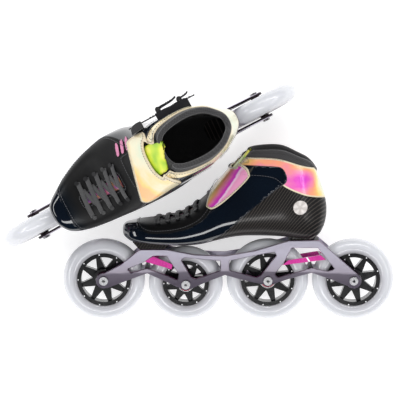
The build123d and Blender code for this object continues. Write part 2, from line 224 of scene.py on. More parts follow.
# Cross-sections of the boot: x, lowest z, highest z, medial and lateral half widths low down, and
# the same at ankle height.
STATIONS = [
    (-141.6, 123.0, 123.2, 0.2, 0.2, 0.2, 0.2),
    (-140.6, 117.4, 128.6, 12.0, 9.0, 12.0, 9.0),
    (-137.0, 113.5, 132.0, 20.0, 15.0, 20.0, 15.0),
    (-129.0, 109.0, 134.0, 29.0, 22.0, 29.0, 22.0),
    (-112.0, 105.5, 136.8, 36.0, 33.0, 36.0, 33.0),
    (-85.0, 103.6, 139.0, 40.5, 46.5, 40.5, 46.5),
    (-59.0, 103.2, 146.0, 43.0, 55.0, 43.0, 55.0),
    (-35.0, 105.5, 163.0, 45.0, 59.0, 43.0, 52.0),
    (-10.0, 111.5, 190.0, 46.5, 58.5, 42.0, 45.0),
    (12.0, 115.3, 216.0, 47.5, 53.0, 42.0, 43.5),
    (35.0, 116.0, 238.0, 46.5, 47.0, 42.0, 43.5),
    (70.0, 114.5, 248.0, 41.5, 42.0, 40.0, 42.0),
    (95.0, 111.0, 240.0, 33.5, 34.0, 32.0, 34.0),
    (110.0, 110.8, 220.0, 26.0, 26.0, 24.0, 24.0),
    (120.0, 115.5, 194.0, 19.0, 19.0, 17.0, 17.0),
    (127.0, 127.0, 174.0, 12.0, 12.0, 11.0, 11.0),
    (130.4, 140.0, 160.0, 6.0, 6.0, 6.0, 6.0),
    (131.2, 150.0, 150.2, 0.2, 0.2, 0.2, 0.2),
]
ANKLE_LOW = 135.0
ANKLE_HIGH = 185.0
HALF_RING = 56
STEPS_BETWEEN = 11


def half_ring(station, side):
    """Half a cross-section from its lowest to its highest point, at even spacing."""
    x, low, high, medial_low, lateral_low, medial_high, lateral_high = station
    centre, half = (low + high) / 2, (high - low) / 2
    angle = np.linspace(-math.pi / 2, math.pi / 2, 600)
    power = np.where(angle < 0, 2 / 3.2, 2 / 2.5)
    z = centre + half * np.sign(np.sin(angle)) * np.abs(np.sin(angle)) ** power
    share = np.clip((z - ANKLE_LOW) / (ANKLE_HIGH - ANKLE_LOW), 0, 1)
    share = share * share * (3 - 2 * share)
    first, second = (medial_low, medial_high) if side < 0 else (lateral_low, lateral_high)
    y = side * (first + (second - first) * share) * np.abs(np.cos(angle)) ** power
    line = np.stack([np.full_like(y, x), y, z], axis=1)
    length = np.concatenate([[0], np.cumsum(np.linalg.norm(np.diff(line, axis=0), axis=1))])
    even = np.linspace(0, length[-1], HALF_RING + 1)
    return np.stack([np.interp(even, length, line[:, k]) for k in range(3)], axis=1)


def boot_grid():
    """The boot's whole surface as rings of points, toe to heel, each starting under the sole."""
    rings = []
    for station in STATIONS:
        lateral, medial = half_ring(station, 1), half_ring(station, -1)
        rings.append(np.concatenate([lateral[:-1], medial[:0:-1]]))
    count = len(rings[0])
    start = np.roll(rings[1][::-1], 1 + count // 2, axis=0)
    end = np.roll(rings[-2][::-1], 1 + count // 2, axis=0)
    rings = [start] + rings + [end]
    found = []
    for k in range(1, len(rings) - 2):
        a, b, c, d = rings[k - 1 : k + 3]
        for t in np.arange(STEPS_BETWEEN) / STEPS_BETWEEN:
            found.append(
                0.5
                * (2 * b + (c - a) * t + (2 * a - 5 * b + 4 * c - d) * t**2 + (3 * b - a - 3 * c + d) * t**3)
            )
    found.append(rings[-2])
    return np.array(found)


def surface_mesh(grid):
    """Points, quads and outward normals of a grid of closed rings."""
    rows, columns = grid.shape[:2]
    along = np.gradient(grid, axis=0)
    around = (np.roll(grid, -1, axis=1) - np.roll(grid, 1, axis=1)) / 2
    normal = np.cross(around, along)
    length = np.linalg.norm(normal, axis=2, keepdims=True)
    normal = normal / np.maximum(length, 1e-9)
    normal[0] = (-1, 0, 0)
    normal[-1] = (1, 0, 0)
    index = np.arange(rows * columns).reshape(rows, columns)
    following = np.roll(index, -1, axis=1)
    quads = np.stack([index[:-1], index[1:], following[1:], following[:-1]], axis=2).reshape(-1, 4)
    return grid.reshape(-1, 3), quads, normal.reshape(-1, 3)


POINTS, QUADS, NORMALS = surface_mesh(boot_grid())
TRIANGLES = np.concatenate([QUADS[:, [0, 1, 2]], QUADS[:, [0, 2, 3]]])


def rounded(points, turns=3):
    """A closed outline with its corners cut round."""
    line = np.array(points, float)
    for _ in range(turns):
        after = np.roll(line, -1, axis=0)
        line = np.stack([0.75 * line + 0.25 * after, 0.25 * line + 0.75 * after], axis=1).reshape(-1, 2)
    return line


def depth_inside(places, outline):
    """How far each place is inside an outline, negative outside it."""
    best = np.full(len(places), 1e9)
    odd = np.zeros(len(places), bool)
    for a, b in zip(outline, np.roll(outline, -1, axis=0)):
        edge = b - a
        share = np.clip(((places - a) @ edge) / max(edge @ edge, 1e-12), 0, 1)
        best = np.minimum(best, np.linalg.norm(places - a - share[:, None] * edge, axis=1))
        spans = (a[1] > places[:, 1]) != (b[1] > places[:, 1])
        cross = a[0] + (places[:, 1] - a[1]) / np.where(abs(edge[1]) < 1e-12, 1e-12, edge[1]) * edge[0]
        odd ^= spans & (places[:, 0] < cross)
    return np.where(odd, best, -best)


def clip(triangles, depth, *columns):
    """Keeps the part of a mesh where depth is above zero, cutting the triangles on its edge.
    columns are values for each point, and come back with the new points' values added."""
    inside = depth[triangles] > 0
    count = inside.sum(axis=1)
    kept = [triangles[count == 3]]
    new, cache = [], {}
    total = len(depth)

    def crossing(i, j):
        key = (min(i, j), max(i, j))
        if key not in cache:
            share = depth[key[0]] / (depth[key[0]] - depth[key[1]])
            cache[key] = total + len(new)
            new.append((key[0], key[1], share))
        return cache[key]

    made = []
    for triangle, flags in zip(triangles[(count == 1) | (count == 2)], inside[(count == 1) | (count == 2)]):
        turn = int(np.argmax(flags)) if flags.sum() == 1 else (int(np.argmin(flags)) + 1) % 3
        a, b, c = np.roll(triangle, -turn)
        if flags.sum() == 1:
            made.append((a, crossing(a, b), crossing(a, c)))
        else:
            made.append((a, b, crossing(b, c)))
            made.append((a, crossing(b, c), crossing(a, c)))
    if made:
        kept.append(np.array(made))
    triangles = np.concatenate(kept)
    if new:
        i, j, share = (np.array(column) for column in zip(*new))
        i, j = i.astype(int), j.astype(int)
        columns = [np.concatenate([c, c[i] * (1 - share[:, None]) + c[j] * share[:, None]]) for c in columns]
    used, inverse = np.unique(triangles, return_inverse=True)
    return inverse.reshape(-1, 3), *[column[used] for column in columns]


def side_view(points):
    """The X and Z of points."""
    return points[:, [0, 2]]


# Meshes


def make_object(name, points, faces, place, facing, border=None):
    """A mesh object from points in the skate's own frame, in millimetres. It keeps them as the attribute
    skate, in metres, with the way they face and their distance from the piece's border."""
    mesh = bpy.data.meshes.new(name)
    points = np.asarray(points, float)
    turned = np.array([place @ Vector(p * MM) for p in points])
    mesh.from_pydata(turned.tolist(), [], [tuple(int(i) for i in f) for f in faces])
    mesh.update()
    attribute = mesh.attributes.new("skate", "FLOAT_VECTOR", "POINT")
    attribute.data.foreach_set("vector", (points * MM).ravel())
    attribute = mesh.attributes.new("facing", "FLOAT_VECTOR", "POINT")
    attribute.data.foreach_set("vector", np.asarray(facing, float).ravel())
    if border is not None:
        attribute = mesh.attributes.new("border", "FLOAT", "POINT")
        attribute.data.foreach_set("value", np.asarray(border, float))
    mesh.polygons.foreach_set("use_smooth", [True] * len(mesh.polygons))
    made = bpy.data.objects.new(name, mesh)
    bpy.context.collection.objects.link(made)
    return made


def apply_modifiers(piece):
    """Turns the piece with its modifiers into a plain mesh."""
    depsgraph = bpy.context.evaluated_depsgraph_get()
    mesh = bpy.data.meshes.new_from_object(piece.evaluated_get(depsgraph))
    piece.modifiers.clear()
    old = piece.data
    piece.data = mesh
    if isinstance(old, bpy.types.Mesh):
        bpy.data.meshes.remove(old)
    return piece


def thicken(piece, thickness, offset=1.0):
    """Gives a sheet its thickness in millimetres, outwards where offset is 1."""
    made = piece.modifiers.new("thickness", "SOLIDIFY")
    made.thickness = thickness * MM
    made.offset = offset
    made.use_rim = True
    made.use_even_offset = False
    return apply_modifiers(piece)


def finish_piece(piece, material, body, slot, *nodes):
    """Dresses a piece, puts it on its body and hides the CAD nodes it stands for."""
    piece.data.materials.clear()
    piece.data.materials.append(material)
    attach(piece, body)
    if nodes:
        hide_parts(*nodes)
    return piece


# Materials


def tyre_material(skate, number):
    """Milky urethane: paler at the running edge, greyer towards the rim, with soft cloudiness."""
    g = Graph(
        f"tyre_urethane_{skate}_{number}",
        IOR=1.45,
        Subsurface_Weight=0.35,
        Subsurface_Scale=0.01,
        Coat_Roughness=0.06,
        Coat_Weight=0.7,
    )
    g.shader.inputs["Subsurface Radius"].default_value = (1.0, 1.0, 1.1)
    place = g.bearing_place(skate, number)
    x, _, z = g.split(place)
    radius = (x * x + z * z).power(0.5) * (1 / (WHEEL_RADII[number - 1] * MM))
    cloud = g.noise(place, 26.0, 4.0)[0]
    tone = radius + (cloud - 0.5) * 0.10
    colour = g.ramp(
        tone,
        [
            (0.64, (0.34, 0.34, 0.36)),
            (0.72, (0.46, 0.46, 0.49)),
            (0.84, (0.57, 0.58, 0.61)),
            (0.97, (0.62, 0.63, 0.66)),
        ],
    )
    wear = (g.noise(place, 900.0, 2.0)[0] - 0.5) * 0.12
    g.set(Base_Color=colour, Roughness=wear + 0.22)
    g.bump(g.noise(place, 260.0, 3.0)[0], 0.0002, 0.25)
    return g.material


def hub_material():
    """Glossy black moulded nylon with a faint flow mark."""
    g = Graph("hub_gloss_black", Coat_Weight=0.4, Coat_Roughness=0.08)
    place = g.object_place()
    cloud = g.noise(place, 60.0, 3.0)[0]
    colour = g.mix(cloud, (0.003, 0.003, 0.004), (0.010, 0.010, 0.012))
    g.set(Base_Color=colour, Roughness=cloud * 0.18 + 0.16)
    g.bump(g.noise(place, 700.0, 2.0)[0], 0.0001, 0.3)
    return g.material


# The inner and outer radius of a bearing's shield, in metres
SHIELD_RADII = (0.0062, 0.0096)


def bearing_material(skate, number):
    """A steel bearing with a red shield and a bright inner race."""
    g = Graph(f"bearing_red_shield_{skate}_{number}")
    x, _, z = g.split(g.bearing_place(skate, number))
    radius = (x * x + z * z).power(0.5)
    shield = (radius > SHIELD_RADII[0]) * (radius < SHIELD_RADII[1])
    g.set(
        Base_Color=g.mix(shield, (0.62, 0.62, 0.64), (0.55, 0.02, 0.045)),
        Metallic=1 - shield,
        Roughness=shield * 0.15 + 0.25,
    )
    return g.material


# The two ends of the tint on the frame's cut edges: magenta on the lying skate, and near black on the
# standing skate as painted shade
EDGE_TINTS_AND_PAINTED_SHADE = {
    "standing": ((0.006, 0.005, 0.007), (0.030, 0.010, 0.022)),
    "lying": ((0.10, 0.008, 0.09), (0.42, 0.03, 0.26)),
}


def frame_material(skate):
    """Anodised aluminium: pale lavender above, darker grey-purple below, magenta on the cut edges (near
    black, as painted shade, on the standing skate).
    """
    g = Graph(f"frame_anodised_{skate}", Coat_Weight=0.15, Coat_Roughness=0.2)
    place = g.skate_place(skate)
    x, _, z = g.split(place)
    normal = g.node("ShaderNodeNewGeometry", {})[1]
    turned = g.node("ShaderNodeVectorRotate", {"rotation_type": "EULER_XYZ", "invert": True}, normal)
    turned[0].socket.node.inputs["Rotation"].default_value = tuple(TURN[skate].to_euler())
    across = g.split(turned[0])[1].size()
    bands = g.noise(g.stretched(place, (40, 1, 900)), 1.0, 2.0)[0]
    height = z * 1000 + (x * x) * 380 * 0.35
    level = ((height - 52) * (1 / 42)).clip() + (bands - 0.5) * 0.12
    face = g.ramp(
        level,
        [
            (0.0, (0.10, 0.085, 0.115)),
            (0.36, (0.17, 0.15, 0.19)),
            (0.42, (0.45, 0.41, 0.49)),
            (1.0, (0.66, 0.63, 0.75)),
        ],
    )
    dark, light = EDGE_TINTS_AND_PAINTED_SHADE[skate]
    # Cut-edge colour: on the standing skate these ends are painted shade, not the edges' own magenta
    edge = g.ramp(g.noise(place, 18.0)[0], [(0.3, dark), (0.7, light)])
    flat_side = across > 0.6
    g.set(
        Base_Color=g.mix(flat_side, edge, face),
        Metallic=flat_side * 0.35 + 0.55,
        Roughness=bands * 0.16 + 0.26,
    )
    g.bump(bands, 0.00005, 0.35)
    return g.material


def plain_metal(name, colour, roughness):
    """Turned or plated metal with a fine streak."""
    g = Graph(name, Metallic=1.0)
    streak = g.noise(g.object_place(), 1400.0, 2.0)[0]
    worn = [c * 0.85 for c in colour]
    g.set(Base_Color=g.mix(streak, worn, colour), Roughness=streak * 0.15 + roughness)
    g.bump(streak, 0.00003, 0.3)
    return g.material


# Where the chevrons cross the accent bars, in millimetres along the frame
CHEVRONS = (-106.0, -80.0, 82.0, 121.0)


def accent_material(skate):
    """Hot-pink lacquer with a white chevron near each end of the bars."""
    g = Graph(f"accent_pink_{skate}", Coat_Weight=0.6, Coat_Roughness=0.08)
    place = g.skate_place(skate)
    x, _, z = g.split(place)
    slant = x * 1000 + (z * 1000 - 80) * 0.6
    marks = None
    for centre in CHEVRONS:
        near = (slant - centre).size() < 1.1
        marks = near if marks is None else marks.max(near)
    pink = g.mix(g.noise(place, 90.0)[0], (0.42, 0.010, 0.20), (0.66, 0.035, 0.34))
    gloss = g.noise(place, 500.0)[0]
    g.set(Base_Color=g.mix(marks, pink, (0.82, 0.80, 0.84)), Roughness=gloss * 0.1 + 0.22)
    return g.material


def moulded_material(name, colour=(0.012, 0.012, 0.014), roughness=0.38):
    """Fine-grained moulded plastic."""
    g = Graph(name)
    place = g.object_place()
    grain = g.noise(place, 1500.0, 3.0)[0]
    cloud = g.noise(place, 45.0, 2.0)[0]
    pale = [c * 2.2 for c in colour]
    g.set(Base_Color=g.mix(cloud, colour, pale), Roughness=grain * 0.2 + roughness)
    g.bump(grain, 0.00012, 0.5)
    return g.material


def carbon_material():
    """Clear-coated carbon twill: diagonal ribs of tow, each catching light at its own angle, with that light
    painted into the colour as lighter lines (painted highlights).
    """
    g = Graph("carbon_twill", Coat_Weight=0.18, Coat_Roughness=0.16, Specular_IOR_Level=0.25)
    place = g.attribute("skate")
    x, _, z = g.split(place)
    warp = g.noise(place, 9.0, 1.0)[0]
    heel = (x * 1000 - 80).max(0.0)
    across = x * 244 - z * 171 - heel * heel * 0.0020 + (warp - 0.5) * 1.8
    along = x * 130 + z * 186
    rib = across.frac()
    ridge = (rib - 0.5).size() * 2
    tow = ((along * 0.9 + across.floor() * 0.5).frac() - 0.5).size() * 2
    # Painted highlight: each rib's brightness, which lightens the base colour and adds metallic
    light = ((ridge - 0.55) * 2.2).clip() * (tow * 0.45 + 0.55)
    grain = g.noise(place, 1500.0, 2.0)[0]
    # The pale end of this ramp is the painted rib highlight
    colour = g.ramp(
        light + (grain - 0.5) * 0.15,
        [(0.0, (0.004, 0.004, 0.004)), (0.25, (0.014, 0.012, 0.012)), (1.0, (0.170, 0.150, 0.138))],
    )
    g.set(Base_Color=colour, Roughness=ridge * -0.18 + 0.42, Metallic=light * 0.4)
    g.bump(ridge, 0.0002, 0.25)
    return g.material


def patent_material():
    """High-gloss patent: nearly black with a blue tinge, softly rippled where it is stretched."""
    g = Graph("patent_black", Coat_Weight=0.8, Coat_Roughness=0.02)
    place = g.attribute("skate")
    ripple = g.noise(place, 30.0, 2.0)[0]
    fine = g.noise(place, 420.0, 2.0)[0]
    blue = g.noise(place, 14.0, 1.0)[0]
    colour = g.mix(blue, (0.003, 0.003, 0.004), (0.004, 0.009, 0.018))
    g.set(Base_Color=colour, Roughness=fine * 0.06 + 0.06)
    g.bump(ripple + fine * 0.03, 0.0014, 0.35)
    return g.material


def vamp_material():
    """Satin black microfibre with a fine pebble and faint creases across the forefoot."""
    g = Graph("vamp_microfibre", Specular_IOR_Level=0.3)
    place = g.attribute("skate")
    x = g.split(place)[0]
    pebble = g.node("ShaderNodeTexVoronoi", {}, Vector=place, Scale=1100.0)[0]
    crease = ((x * 1000 * 0.28 + g.noise(place, 22.0)[0] * 3).wave() * 0.5 + 0.5).power(6.0)
    toe = ((x * -1000 - 104) * (1 / 26)).clip()
    colour = g.mix(toe, (0.005, 0.005, 0.0055), (0.002, 0.007, 0.014))
    g.set(Base_Color=colour, Roughness=(pebble * 0.12 + 0.40) * (1 - toe * 0.72))
    g.bump(pebble * 0.5 + crease * 0.6 * (1 - toe), 0.0003, 0.35)
    return g.material


def film_material(name, facing_gain, shift, sweep, pool, top, edge_width=1.7):
    """Iridescent film with a cream edge. Its hue runs from pale green and cream through orange to magenta,
    then through a pale pink band that is a painted highlight streak to pink, as level rises: with the way
    it faces (painted reflection colour for the angle it is seen at), a wandering swirl, sweep (a direction
    across the piece, where it starts and how far it runs) and pool, a spot of deeper colour. It stops at
    top."""
    g = Graph(name, Coat_Weight=0.5, Coat_Roughness=0.08)
    place = g.attribute("skate")
    x, _, z = g.split(place)
    _, sideways, upwards = g.split(g.attribute("facing"))
    border = g.value_attribute("border")
    swirl = g.noise(place, 24.0, 3.0)[0]
    streak = g.noise(g.stretched(place, (30, 30, 120)))[0]
    spot_x, spot_z, spot_size, spot_gain = pool
    away = ((x * 1000 - spot_x).power(2.0) + ((z * 1000 - spot_z) * 1.5).power(2.0)).power(0.5)
    level = (1 - away * (1 / spot_size)).clip() * spot_gain + shift
    # Painted reflection colour: the hue shifts with the way the surface faces, standing in for the film's
    # change of colour with the angle it is seen at
    level = level + (sideways.size() * 0.8 - upwards * 0.2) * facing_gain
    level = level + (swirl - 0.5) * 0.5 + (streak - 0.5) * 0.18
    (sweep_x, sweep_z), start, run, gain = sweep
    level = level + ((x * 1000 * sweep_x + z * 1000 * sweep_z - start) * (1 / run)).clip() * gain
    level = level.min(top)
    colour = g.ramp(
        level,
        [
            (0.04, (0.58, 0.66, 0.50)),
            (0.16, (0.74, 0.68, 0.48)),
            (0.30, (0.88, 0.58, 0.18)),
            (0.44, (0.88, 0.34, 0.20)),
            (0.56, (0.82, 0.22, 0.42)),
            (0.68, (0.74, 0.08, 0.50)),
            (0.80, (0.62, 0.04, 0.52)),
            # Painted highlight: this pale pink band is a highlight streak, reached only on the lying skate's
            # strap, where level runs up to top
            (0.88, (0.93, 0.66, 0.84)),
            (1.0, (0.84, 0.34, 0.56)),
        ],
    )
    cream = g.mix(swirl, (0.62, 0.50, 0.30), (0.76, 0.68, 0.52))
    edge = 1 - ((border - edge_width) * (1 / 0.5)).clip()
    fine = g.noise(place, 700.0, 2.0)[0]
    g.set(
        Base_Color=g.mix(edge, colour, cream),
        Metallic=(1 - edge) * swirl * 0.12,
        Roughness=fine * 0.12 + edge * 0.22 + 0.14,
    )
    g.bump(fine + swirl * 2.0 + edge * 0.8, 0.0004, 0.3)
    return g.material


def stripe_material():
    """Printed stripes in a dusty pink."""
    g = Graph("stripe_print_pink")
    grain = g.noise(g.attribute("skate"), 900.0, 2.0)[0]
    colour = g.mix(grain, (0.45, 0.12, 0.26), (0.74, 0.30, 0.46))
    g.set(Base_Color=colour, Roughness=grain * 0.2 + 0.4)
    return g.material


def badge_material():
    """A cast silver rosette: petals round a plain middle, with tarnish between them."""
    g = Graph("badge_silver")
    place = g.attribute("skate")
    x, _, z = g.split(place)
    right, up = x * 1000 - BADGE[0], z * 1000 - BADGE[1]
    angle = g.node("ShaderNodeMath", {"operation": "ARCTAN2"}, up, right)[0]
    reach = (right * right + up * up).power(0.5)
    petal = ((angle * 5.0).wave() * 0.5 + 0.5) * ((reach - 1.8) * 0.5).clip()
    worn = g.noise(place, 500.0, 3.0)[0]
    tone = petal * 0.5 + worn * 0.5
    g.set(
        Base_Color=g.mix(tone, (0.42, 0.38, 0.36), (0.90, 0.86, 0.83)),
        Metallic=tone * 0.2 + 0.1,
        Roughness=worn * 0.3 + 0.3,
    )
    g.bump(petal + worn * 0.6, 0.0008, 0.7)
    return g.material


def knit_material(name, dark, light, scale=620.0):
    """A fine knitted or woven cloth."""
    g = Graph(name, Sheen_Weight=0.35, Sheen_Roughness=0.5)
    place = g.attribute("skate")
    x, y, z = g.split(place)
    loops = ((x * scale * 4).wave() * (z * scale * 4 + y * scale * 2.5).wave()) * 0.5 + 0.5
    fuzz = g.noise(place, 1300.0, 3.0)[0]
    g.set(Base_Color=g.mix(loops * 0.6 + fuzz * 0.4, dark, light), Roughness=fuzz * 0.1 + 0.82)
    g.bump(loops + fuzz * 0.5, 0.0003, 0.6)
    return g.material


def tongue_material():
    """Coated tongue fabric: lime at its top, running through yellow to pink and orange patches."""
    g = Graph("tongue_lime_coated", Coat_Weight=0.4, Coat_Roughness=0.2)
    place = g.attribute("skate")
    z = g.split(place)[2]
    patch = g.noise(place, 55.0, 1.0)[0]
    low = g.ramp(
        patch,
        [
            (0.30, (0.03, 0.03, 0.035)),
            (0.44, (0.70, 0.10, 0.50)),
            (0.54, (0.85, 0.40, 0.12)),
            (0.66, (0.45, 0.12, 0.60)),
            (0.78, (0.04, 0.04, 0.05)),
        ],
    )
    high = g.ramp(
        patch, [(0.35, (0.34, 0.58, 0.03)), (0.55, (0.62, 0.74, 0.04)), (0.70, (0.80, 0.76, 0.12))]
    )
    rise = ((z * 1000 - 175) * (1 / 20)).clip()
    weave = g.noise(place, 1200.0, 2.0)[0]
    g.set(Base_Color=g.mix(rise, low, high), Roughness=weave * 0.2 + 0.35)
    g.bump(weave, 0.0003, 0.4)
    return g.material


def cord_material(name, dark, light):
    """A waxed braid with herringbone picks."""
    g = Graph(name, Sheen_Weight=0.2)
    place = g.attribute("skate")
    x, y, _ = g.split(place)
    picks = ((x * 2600 + y * 2600).wave() * (y * 2600 - x * 2600).wave()) * 0.5 + 0.5
    g.set(Base_Color=g.mix(picks, dark, light), Roughness=picks * 0.15 + 0.6)
    g.bump(picks, 0.0003, 0.7)
    return g.material


def thread_material():
    """Dark sewing thread with a little fuzz."""
    g = Graph("stitch_thread")
    fuzz = g.noise(g.object_place(), 2500.0, 2.0)[0]
    colour = g.mix(fuzz, (0.05, 0.05, 0.055), (0.14, 0.14, 0.15))
    g.set(Base_Color=colour, Roughness=fuzz * 0.2 + 0.6)
    return g.material


# The middle of the badge on the heel's medial side, X and Z, and its radius
BADGE = (93.8, 157.0)
BADGE_RADIUS = 9.5

MATERIALS = {
    "hub": hub_material(),
    "steel": plain_metal("axle_steel", (0.78, 0.78, 0.80), 0.22),
    "spacer": plain_metal("spacer_aluminium", (0.70, 0.70, 0.72), 0.35),
    "brace": moulded_material("brace_black"),
    "buckle": moulded_material("buckle_nylon", (0.010, 0.010, 0.012), 0.30),
    "ladder": moulded_material("ladder_nylon", (0.012, 0.012, 0.013), 0.25),
    "carbon": carbon_material(),
    "patent": patent_material(),
    "vamp": vamp_material(),
    # Lying and standing skates get copies of one film in different hues, magenta on the lying skate and
    # paler cream and orange on the standing one: painted reflection colour for the angle each is seen at
    "film_cuff_lying": film_material(
        "iridescent_cuff", 0.66, 0.0, ((1, 0), 112, 26, -0.10), (99, 194, 24.0, 0.34), 0.80
    ),
    "film_strap_lying": film_material(
        "iridescent_strap", 0.0, 0.0, ((0.797, -0.604), -129, 26, 1.30), (2, 176, 20.0, 0.0), 1.0
    ),
    "film_cuff_standing": film_material(
        "iridescent_cuff_pale", 0.0, 0.14, ((0, 1), 200, 20, 0.04), (98, 196, 10.0, 0.1), 0.3
    ),
    "film_strap_standing": film_material(
        "iridescent_strap_pale", 0.0, 0.12, ((0, -1), -216, 24, 0.04), (-20, 172, 28.0, 0.34), 0.38, 2.4
    ),
    "stripe": stripe_material(),
    "badge": badge_material(),
    "dot": moulded_material("rim_dot_white", (0.55, 0.55, 0.56), 0.35),
    "eyelet": moulded_material("eyelet_black", (0.010, 0.010, 0.011), 0.28),
    "lining": knit_material("lining_knit", (0.010, 0.010, 0.011), (0.052, 0.050, 0.052), 420.0),
    "insole": knit_material("insole_cloth", (0.008, 0.008, 0.009), (0.030, 0.030, 0.032)),
    "pocket": knit_material("pocket_webbing", (0.010, 0.010, 0.011), (0.040, 0.040, 0.042), 900.0),
    "tongue": tongue_material(),
    "lace": cord_material("lace_braid", (0.020, 0.020, 0.021), (0.085, 0.085, 0.088)),
    "thread": thread_material(),
}


# Boot panels. Their outlines are in side view, X and Z.

TOP_LINE = [(8, 203), (15, 217), (21, 229.5), (53.5, 232), (73, 231), (93, 221), (109, 215), (122, 196)]
BASE_ZONE = [
    (-170, 114), (-100, 111.5), (-60, 110), (-22, 114), (20, 152), (62, 190), (78, 190), (88, 177),
    (110, 168.7), (170, 163), (170, 80), (-170, 80),
]
WRAP_ZONE = [
    (-170, 112), (-100, 109.5), (-60, 108), (-20, 112), (22, 150), (66, 186), (78, 192), (72, 211),
    (58, 213), (6, 214), (-3, 193), (-28, 146), (-50, 131), (-75, 124), (-110, 122), (-124, 132),
    (-126, 160), (-170, 160),
]
VAMP_ZONE = [(-170, 110), (-75, 112), (-10, 130), (30, 190), (30, 240), (-170, 240)]
CUFF_ZONE = [
    (0, 200), (58, 200), (70, 187), (87, 177.7), (110, 168.7), (170, 163), (170, 196), (113, 207.5),
    (94, 212.5), (70, 221.5), (48, 223.8), (0, 222.5),
]
BAND_ZONE = [
    (0, 218), (48, 221), (70, 218.5), (94, 210), (113, 205), (170, 190), (170, 260), (0, 260),
]
TONGUE_LOW = -96.0
TONGUE_HALF = 21.0
STRAP_ZONE = [(-31, 158), (-36, 168), (8, 224), (19, 223), (32, 213), (28, 197), (-19, 154)]
# The instep strap's outline in plan, X and Y
STRAP_PLAN = [
    (-12, 29), (-10, 38), (16, 38), (15, 29), (10, -12), (16, -28), (31, -42), (46, -80), (-46, -80),
    (-31, -44),
]
# The lace slot: its two ends along X and its middle line's Y
SLOT_FRONT = -97.0
SLOT_REAR = -41.0
SLOT_MIDDLE = -3.0
# A depth that never limits a panel
NO_LIMIT = 50


def top_depth(points):
    """How far points are under the collar's top line."""
    zone = rounded([(-200, 60), (-200, 203)] + TOP_LINE + [(200, 190), (200, 60)], 2)
    return depth_inside(side_view(points), zone)


WELD = 0.05


def panel(name, zone, lift, thickness, place, extra=None, turns=3):
    """One layer of the boot: the surface inside an outline, lifted outwards and given a thickness."""
    depth = np.minimum(depth_inside(side_view(POINTS), rounded(zone, turns)), TOP_DEPTH)
    if extra is not None:
        depth = np.minimum(depth, extra)
    faces, points, normals, depth = clip(TRIANGLES, depth, POINTS, NORMALS, depth[:, None])
    normals = normals / np.linalg.norm(normals, axis=1, keepdims=True)
    made = make_object(name, points + normals * lift, faces, place, facing=normals, border=depth[:, 0])
    weld(made)
    thicken(made, thickness)
    return made


def weld(piece):
    """Merges points that lie within WELD of each other."""
    work = bmesh.new()
    work.from_mesh(piece.data)
    bmesh.ops.remove_doubles(work, verts=work.verts, dist=WELD * MM)
    work.to_mesh(piece.data)
    work.free()
    return piece


def boundary_loops(faces):
    """The edge loops of a triangle mesh, as lists of point numbers."""
    edges = {}
    for a, b, c in faces:
        for i, j in ((a, b), (b, c), (c, a)):
            edges[(i, j)] = True
    following = {}
    for i, j in edges:
        if (j, i) not in edges:
            following[i] = j
    loops = []
    while following:
        start, after = following.popitem()
        loop = [start]
        while after in following:
            loop.append(after)
            after = following.pop(after)
        loops.append(loop)
    return loops


def tube(name, line, radius, place, normals, sides, flat):
    """A flattened tube along a line of points, in millimetres, closed at its ends."""
    line = np.asarray(line, float)
    count = len(line)
    tangent = np.gradient(line, axis=0)
    tangent /= np.maximum(np.linalg.norm(tangent, axis=1, keepdims=True), 1e-9)
    up = normals - (normals * tangent).sum(axis=1, keepdims=True) * tangent
    up /= np.maximum(np.linalg.norm(up, axis=1, keepdims=True), 1e-9)
    side = np.cross(tangent, up)
    radius = np.broadcast_to(np.asarray(radius, float), (count,))
    angle = np.arange(sides) * 2 * math.pi / sides
    points = (
        line[:, None]
        + side[:, None] * (np.cos(angle)[None, :, None] * radius[:, None, None])
        + up[:, None] * (np.sin(angle)[None, :, None] * (radius * flat)[:, None, None])
    ).reshape(-1, 3)
    faces = []
    for row in range(count - 1):
        first, after = row * sides, (row + 1) * sides
        for k in range(sides):
            m = (k + 1) % sides
            faces.append((first + k, first + m, after + m, after + k))
    faces.append(tuple(range(sides))[::-1])
    faces.append(tuple((count - 1) * sides + k for k in range(sides)))
    made = make_object(name, points, faces, place, facing=np.repeat(up, sides, axis=0))
    outward(made)
    return made


def outward(piece):
    """Turns every face of a piece outwards."""
    work = bmesh.new()
    work.from_mesh(piece.data)
    bmesh.ops.recalc_face_normals(work, faces=work.faces)
    work.to_mesh(piece.data)
    work.free()
    return piece


def smooth_line(line, turns=2, closed=True):
    """Averages a line's points with their neighbours."""
    line = np.asarray(line, float)
    for _ in range(turns):
        if closed:
            line = (np.roll(line, 1, axis=0) + 2 * line + np.roll(line, -1, axis=0)) / 4
        else:
            line[1:-1] = (line[:-2] + 2 * line[1:-1] + line[2:]) / 4
    return line


def even_line(line, spacing):
    """A closed line with its points at an even spacing."""
    line = np.concatenate([line, line[:1]])
    length = np.concatenate([[0], np.cumsum(np.linalg.norm(np.diff(line, axis=0), axis=1))])
    count = max(4, int(length[-1] / spacing))
    even = np.linspace(0, length[-1], count + 1)
    return np.stack([np.interp(even, length, line[:, k]) for k in range(3)], axis=1)[:-1]


def nearest_normals(points):
    """The boot's outward normal near each point."""
    found = []
    for p in points:
        found.append(NORMALS[int(np.argmin(((POINTS - p) ** 2).sum(axis=1)))])
    return np.array(found)


TOP_DEPTH = top_depth(POINTS)


def slot_depth(points):
    """How far points are outside the lace slot, on the vamp's upper side."""
    x, y, z = points.T
    half = 5.5 + (x - SLOT_FRONT) / (SLOT_REAR - SLOT_FRONT) * 3.5
    middle = SLOT_MIDDLE + (x + 65) * 0.02
    outside = np.maximum(np.maximum(SLOT_FRONT - x, x - SLOT_REAR), np.abs(y - middle) - half)
    return np.where(z > 120, outside, NO_LIMIT)


